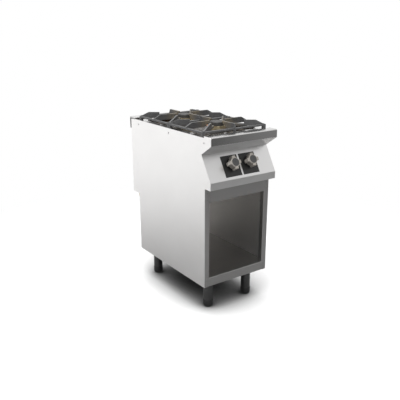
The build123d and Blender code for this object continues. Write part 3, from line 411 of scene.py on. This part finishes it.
def add_lamp(name, place, target, size, power):
    data = bpy.data.lights.new(name, "AREA")
    data.shape = "RECTANGLE"
    data.size, data.size_y = size
    data.energy = power
    lamp = bpy.data.objects.new(name, data)
    lamp.location = place
    lamp.rotation_euler = (Vector(target) - Vector(place)).to_track_quat("-Z", "Y").to_euler()
    bpy.context.collection.objects.link(lamp)


def seen_rays(nodes, *names):
    """One where a ray is of any of these kinds, and nought elsewhere."""
    path = nodes.add("ShaderNodeLightPath")
    total = path.outputs[names[0]]
    for name in names[1:]:
        either = nodes.add("ShaderNodeMath", operation="MAXIMUM")
        nodes.link(total, either.inputs[0])
        nodes.link(path.outputs[name], either.inputs[1])
        total = either.outputs[0]
    return total


def background(nodes, strength=None):
    """A white background, at full strength unless a strength is given."""
    shader = nodes.add("ShaderNodeBackground")
    shader.inputs["Color"].default_value = (1, 1, 1, 1)
    if strength is not None:
        nodes.link(strength, shader.inputs["Strength"])
    return shader.outputs["Background"]


def dimmed(nodes, share, level):
    """A level of 1 that falls to another level as a share goes from nought to one."""
    mapper = nodes.add("ShaderNodeMapRange")
    mapper.inputs["To Min"].default_value = 1.0
    mapper.inputs["To Max"].default_value = level
    nodes.link(share, mapper.inputs["Value"])
    return mapper.outputs["Result"]


def studio_level(nodes, direction):
    """The white studio, dim low in front, and dim in an upright strip at the front right."""
    across, along, upward = (direction.outputs[axis] for axis in "XYZ")
    front = smooth_step(nodes, along, FRONT_BAND, 1.0, 0.0)
    low = smooth_step(nodes, upward, LOW_BAND, 1.0, 0.0)
    less_right = smooth_step(nodes, across, RIGHT_BAND, 1.0, RIGHT_SHARE)
    less_left = smooth_step(nodes, across, LEFT_BAND, LEFT_SHARE, 1.0)
    low_front = multiply(nodes, multiply(nodes, front, low), multiply(nodes, less_right, less_left))
    strip_end = smooth_step(nodes, across, STRIP_END, 1.0, 0.0)
    strip = multiply(nodes, strip_end, smooth_step(nodes, across, STRIP_START, 0.0, 1.0))
    front_strip = multiply(nodes, front, strip)
    return multiply(nodes, dimmed(nodes, low_front, DIM_FRONT), dimmed(nodes, front_strip, DIM_STRIP))


def add_world():
    world = bpy.data.worlds.new("studio")
    bpy.context.scene.world = world
    world.use_nodes = True
    nodes = Nodes(world.node_tree)
    output = nodes.add("ShaderNodeOutputWorld")
    coordinates = nodes.add("ShaderNodeTexCoord")
    direction = nodes.add("ShaderNodeSeparateXYZ")
    nodes.link(coordinates.outputs["Generated"], direction.inputs[0])
    rising = smooth_step(nodes, direction.outputs["Z"], RISE_BAND, LOW_LIGHT, HIGH_LIGHT)
    soft = background(nodes, rising)
    studio = background(nodes, studio_level(nodes, direction))
    white = background(nodes)
    mirrored = seen_rays(nodes, "Is Glossy Ray", "Is Transmission Ray")
    shiny = mix_shaders(nodes, mirrored, soft, studio)
    shown = mix_shaders(nodes, seen_rays(nodes, "Is Camera Ray"), shiny, white)
    nodes.link(shown, output.inputs["Surface"])


def add_floor():
    """A round floor: grey for what it lights, and white for what is seen, with its shadow deepened by
    a painted shadow.

    The grey is darkest in front and near the object, and paler far behind it; near the object this
    dark grey is painted shade.
    """
    mesh = bpy.data.meshes.new("floor")
    angles = [math.tau * step / FLOOR_STEPS for step in range(FLOOR_STEPS)]
    rim = [(FLOOR_RADIUS * math.cos(angle), FLOOR_RADIUS * math.sin(angle), 0) for angle in angles]
    mesh.from_pydata(rim, [], [tuple(range(FLOOR_STEPS))])
    floor = bpy.data.objects.new("floor", mesh)
    bpy.context.collection.objects.link(floor)
    material = bpy.data.materials.new("floor")
    material.use_nodes = True
    nodes = Nodes(material.node_tree)
    output = nodes.add("ShaderNodeOutputMaterial")
    coordinates = nodes.add("ShaderNodeTexCoord")
    length = nodes.add("ShaderNodeVectorMath", operation="LENGTH")
    nodes.link(coordinates.outputs["Object"], length.inputs[0])
    # Painted shade: the grey that the floor lights and reflects with is darkest near the object.
    behind = smooth_step(nodes, place_along(nodes, "Y"), BEHIND_BAND, FRONT_SHARE, 1.0)
    away = smooth_step(nodes, length.outputs["Value"], FAR_BAND, 0.0, 1.0)
    outward = multiply(nodes, behind, away)
    plain = nodes.add("ShaderNodeBsdfDiffuse")
    nodes.link(mix_colours(nodes, outward, FLOOR_NEAR, FLOOR_FAR), plain.inputs["Color"])
    # Painted shadow: the seen floor darkens where ambient occlusion finds the object close above it.
    shadow_cover = nodes.add("ShaderNodeAmbientOcclusion")
    shadow_cover.inputs["Distance"].default_value = PAINTED_SHADOW_REACH
    open_sky = smooth_step(nodes, shadow_cover.outputs["AO"], PAINTED_SHADOW_BAND, 0.0, 1.0)
    pale = nodes.add("ShaderNodeBsdfDiffuse")
    nodes.link(mix_colours(nodes, open_sky, FLOOR_PAINTED_SHADOW, FLOOR_SEEN), pale.inputs["Color"])
    white = nodes.add("ShaderNodeEmission")
    far = smooth_step(nodes, length.outputs["Value"], WHITE_BAND, 0.0, 1.0)
    seen = mix_shaders(nodes, far, pale.outputs[0], white.outputs[0])
    straight = seen_rays(nodes, "Is Camera Ray", "Is Transmission Ray")
    nodes.link(mix_shaders(nodes, straight, plain.outputs[0], seen), output.inputs["Surface"])
    mesh.materials.append(material)


add_camera()
add_world()
for lamp_facts in LAMPS:
    add_lamp(*lamp_facts)
add_floor()
dress_nodes(make_materials())

bpy.context.scene.view_settings.view_transform = "Standard"
